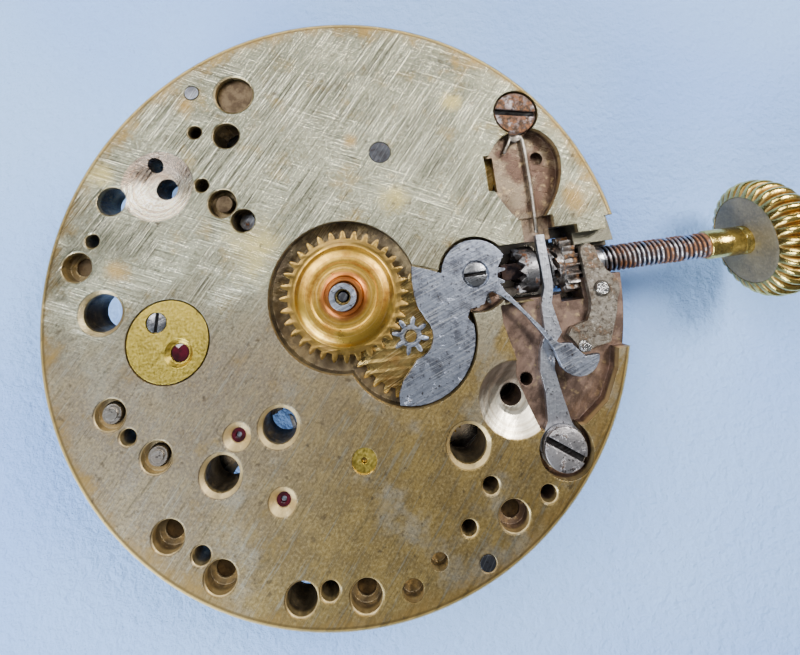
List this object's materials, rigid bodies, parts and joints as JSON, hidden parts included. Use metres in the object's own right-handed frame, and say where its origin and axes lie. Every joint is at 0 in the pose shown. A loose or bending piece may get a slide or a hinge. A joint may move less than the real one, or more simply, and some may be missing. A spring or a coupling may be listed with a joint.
{
  "type": "chronograph watch movement",
  "caption": "Round mechanical chronograph watch movement with its winding stem and fluted crown, motion work and setting levers on the dial side.",
  "frame": {"origin": "centre of the main plate on its dial face", "axes": "+X along the winding stem towards the crown, +Y to 12 o'clock, +Z out of the dial face"},
  "size_m": [0.0396, 0.0292, 0.0075],
  "materials": {
    "nickel": "brushed nickel silver with worn gilding",
    "brass": "satin gilt brass",
    "steel": "grained steel",
    "blued": "polished screws, some blued",
    "rusty": "steel with light rust",
    "gold": "bright gilding",
    "ruby": "polished red jewel"
  },
  "bodies": {
    "movement": {"main_plate": "nickel", "plate_jewels": "ruby", "fourth_bush": "brass", "plate_pins": "steel", "plate_screws": "rusty", "endpiece": "brass", "cap_jewel": "ruby", "endpiece_screw": "blued", "minute_post": "brass", "setting_cover": "steel", "cover_screw": "blued", "yoke_screw": "steel", "setting_spring": "steel", "spring_screw": "rusty", "pallet_bridge": "nickel", "hairspring": "blued", "balance_cock": "nickel", "regulator": "steel", "barrel_bridge": "nickel", "train_bridge": "nickel", "bridge_screws": "blued", "crown_wheel_screw": "blued", "lever_screws": "blued", "lever_springs": "steel", "chrono_bridge": "nickel"},
    "winding_pinion": {"winding_pinion": "steel"},
    "stem": {"stem": "rusty", "crown": "gold"},
    "castle_pinion": {"castle_pinion": "steel"},
    "setting_lever": {"setting_lever": "rusty"},
    "yoke": {"yoke": "steel"},
    "crown_wheel": {"crown_wheel": "steel"},
    "ratchet": {"ratchet_wheel": "steel", "ratchet_screw": "blued", "barrel_arbor": "steel"},
    "click": {"click": "steel"},
    "barrel": {"barrel_drum": "brass", "barrel_cover": "brass", "mainspring": "blued"},
    "centre_wheel": {"centre_wheel": "brass", "cannon_pinion": "steel"},
    "minute_wheel": {"minute_wheel": "brass", "minute_pinion": "brass"},
    "hour_wheel": {"hour_wheel": "brass"},
    "setting_wheel": {"setting_wheel": "steel"},
    "third_wheel": {"third_wheel": "brass"},
    "fourth_wheel": {"fourth_wheel": "brass", "driving_wheel": "brass"},
    "escape_wheel": {"escape_wheel": "steel"},
    "pallet_fork": {"pallet_fork": "steel"},
    "balance": {"balance_wheel": "brass", "balance_staff": "steel"},
    "coupling_lever": {"coupling_lever": "steel"},
    "coupling_wheel": {"coupling_wheel": "brass"},
    "seconds_runner": {"seconds_runner": "brass"},
    "minute_recorder": {"minute_recorder": "brass"},
    "column_wheel": {"column_wheel": "steel"},
    "operating_lever": {"operating_lever": "steel"},
    "reset_hammer": {"reset_hammer": "steel"},
    "brake_lever": {"brake_lever": "steel"}
  },
  "joints": [
    {"name": "crown_turn", "type": "hinge", "parent": "movement", "child": "winding_pinion", "pos_m": [0.0118, 0, -0.00192], "axis": [1, 0, 0], "continuous": true},
    {"name": "stem_pull", "type": "slide", "parent": "winding_pinion", "child": "stem", "axis": [1, 0, 0], "range_m": [0, 0.0006]},
    {"name": "castle_slide", "type": "slide", "parent": "winding_pinion", "child": "castle_pinion", "axis": [1, 0, 0], "range_m": [-0.00069, 0]},
    {"name": "setting_lever_turn", "type": "hinge", "parent": "movement", "child": "setting_lever", "pos_m": [0.01328, -0.00138, -0.00066], "axis": [0, 0, 1], "range_deg": [-25.5, 0]},
    {"name": "yoke_turn", "type": "hinge", "parent": "movement", "child": "yoke", "pos_m": [0.00982, -0.00862, -0.00075], "axis": [0, 0, 1], "range_deg": [0, 4.6]},
    {"name": "crown_wheel_turn", "type": "hinge", "parent": "movement", "child": "crown_wheel", "pos_m": [0.00862, 0.00158, -0.00365], "axis": [0, 0, 1], "continuous": true},
    {"name": "ratchet_turn", "type": "hinge", "parent": "movement", "child": "ratchet", "pos_m": [0.00268, 0.00708, -0.00365], "axis": [0, 0, 1], "continuous": true},
    {"name": "click_turn", "type": "hinge", "parent": "movement", "child": "click", "pos_m": [-0.00278, 0.00854, -0.00365], "axis": [0, 0, 1], "range_deg": [-8, 0], "stiffness_Nm_per_rad": 0.000002},
    {"name": "fourth_turn", "type": "hinge", "parent": "movement", "child": "fourth_wheel", "pos_m": [0.00013, -0.00767, -0.0031], "axis": [0, 0, 1], "continuous": true},
    {"name": "third_turn", "type": "hinge", "parent": "movement", "child": "third_wheel", "pos_m": [0.00297, -0.00451, -0.0027], "axis": [0, 0, 1], "continuous": true},
    {"name": "centre_turn", "type": "hinge", "parent": "movement", "child": "centre_wheel", "pos_m": [0, 0, -0.0029], "axis": [0, 0, 1], "continuous": true},
    {"name": "barrel_turn", "type": "hinge", "parent": "movement", "child": "barrel", "pos_m": [0.00268, 0.00708, -0.002], "axis": [0, 0, 1], "continuous": true},
    {"name": "escape_turn", "type": "hinge", "parent": "movement", "child": "escape_wheel", "pos_m": [-0.00381, -0.00885, -0.0027], "axis": [0, 0, 1], "continuous": true},
    {"name": "minute_wheel_turn", "type": "hinge", "parent": "movement", "child": "minute_wheel", "pos_m": [0.00307, -0.0024, -0.001], "axis": [0, 0, 1], "continuous": true},
    {"name": "hour_turn", "type": "hinge", "parent": "movement", "child": "hour_wheel", "pos_m": [0, 0, -0.0006], "axis": [0, 0, 1], "continuous": true},
    {"name": "setting_wheel_turn", "type": "hinge", "parent": "movement", "child": "setting_wheel", "pos_m": [0.00674, 0.00018, -0.001], "axis": [0, 0, 1], "continuous": true},
    {"name": "pallet_rock", "type": "hinge", "parent": "movement", "child": "pallet_fork", "pos_m": [-0.00567, -0.00575, -0.0027], "axis": [0, 0, 1], "range_deg": [-5, 5]},
    {"name": "balance_swing", "type": "hinge", "parent": "movement", "child": "balance", "pos_m": [-0.00816, -0.00162, -0.0035], "axis": [0, 0, 1], "range_deg": [-270, 270], "stiffness_Nm_per_rad": 0.0000016},
    {"name": "coupling_lever_turn", "type": "hinge", "parent": "movement", "child": "coupling_lever", "pos_m": [0.00013, -0.00767, -0.00415], "axis": [0, 0, 1], "range_deg": [0, 4.2]},
    {"name": "coupling_wheel_turn", "type": "hinge", "parent": "coupling_lever", "child": "coupling_wheel", "pos_m": [0.00172, -0.00398, -0.0045], "axis": [0, 0, 1], "continuous": true},
    {"name": "seconds_turn", "type": "hinge", "parent": "movement", "child": "seconds_runner", "pos_m": [0, 0, -0.0045], "axis": [0, 0, 1], "continuous": true},
    {"name": "recorder_turn", "type": "hinge", "parent": "movement", "child": "minute_recorder", "pos_m": [-0.00465, 0.0044, -0.0045], "axis": [0, 0, 1], "continuous": true},
    {"name": "column_turn", "type": "hinge", "parent": "movement", "child": "column_wheel", "pos_m": [0.0076, -0.008, -0.0045], "axis": [0, 0, 1], "continuous": true},
    {"name": "operating_turn", "type": "hinge", "parent": "movement", "child": "operating_lever", "pos_m": [0.0036, -0.0126, -0.00415], "axis": [0, 0, 1], "range_deg": [0, 2.2], "stiffness_Nm_per_rad": 0.00001},
    {"name": "hammer_turn", "type": "hinge", "parent": "movement", "child": "reset_hammer", "pos_m": [0.0074, -0.0044, -0.0049], "axis": [0, 0, 1], "range_deg": [0, 2.8]},
    {"name": "brake_turn", "type": "hinge", "parent": "movement", "child": "brake_lever", "pos_m": [0.0099, 0.0092, -0.0045], "axis": [0, 0, 1], "range_deg": [0, 2]}
  ],
  "couplings": [
    {"joint": "castle_slide", "follows": "stem_pull", "ratio": -1.1272},
    {"joint": "setting_lever_turn", "follows": "stem_pull", "rad_per_m": -727.22},
    {"joint": "yoke_turn", "follows": "stem_pull", "rad_per_m": 130.9},
    {"joint": "crown_wheel_turn", "follows": "crown_turn", "ratio": 0.5},
    {"joint": "ratchet_turn", "follows": "crown_turn", "ratio": -0.4},
    {"joint": "third_turn", "follows": "fourth_turn", "ratio": -0.13333},
    {"joint": "centre_turn", "follows": "fourth_turn", "ratio": 0.016667},
    {"joint": "barrel_turn", "follows": "fourth_turn", "ratio": -0.002381},
    {"joint": "escape_turn", "follows": "fourth_turn", "ratio": -10},
    {"joint": "minute_wheel_turn", "follows": "fourth_turn", "ratio": -0.0055556},
    {"joint": "hour_turn", "follows": "fourth_turn", "ratio": 0.0013889},
    {"joint": "setting_wheel_turn", "follows": "fourth_turn", "ratio": 0.010417},
    {"joint": "coupling_wheel_turn", "follows": "fourth_turn", "ratio": -2.8235}
  ]
}
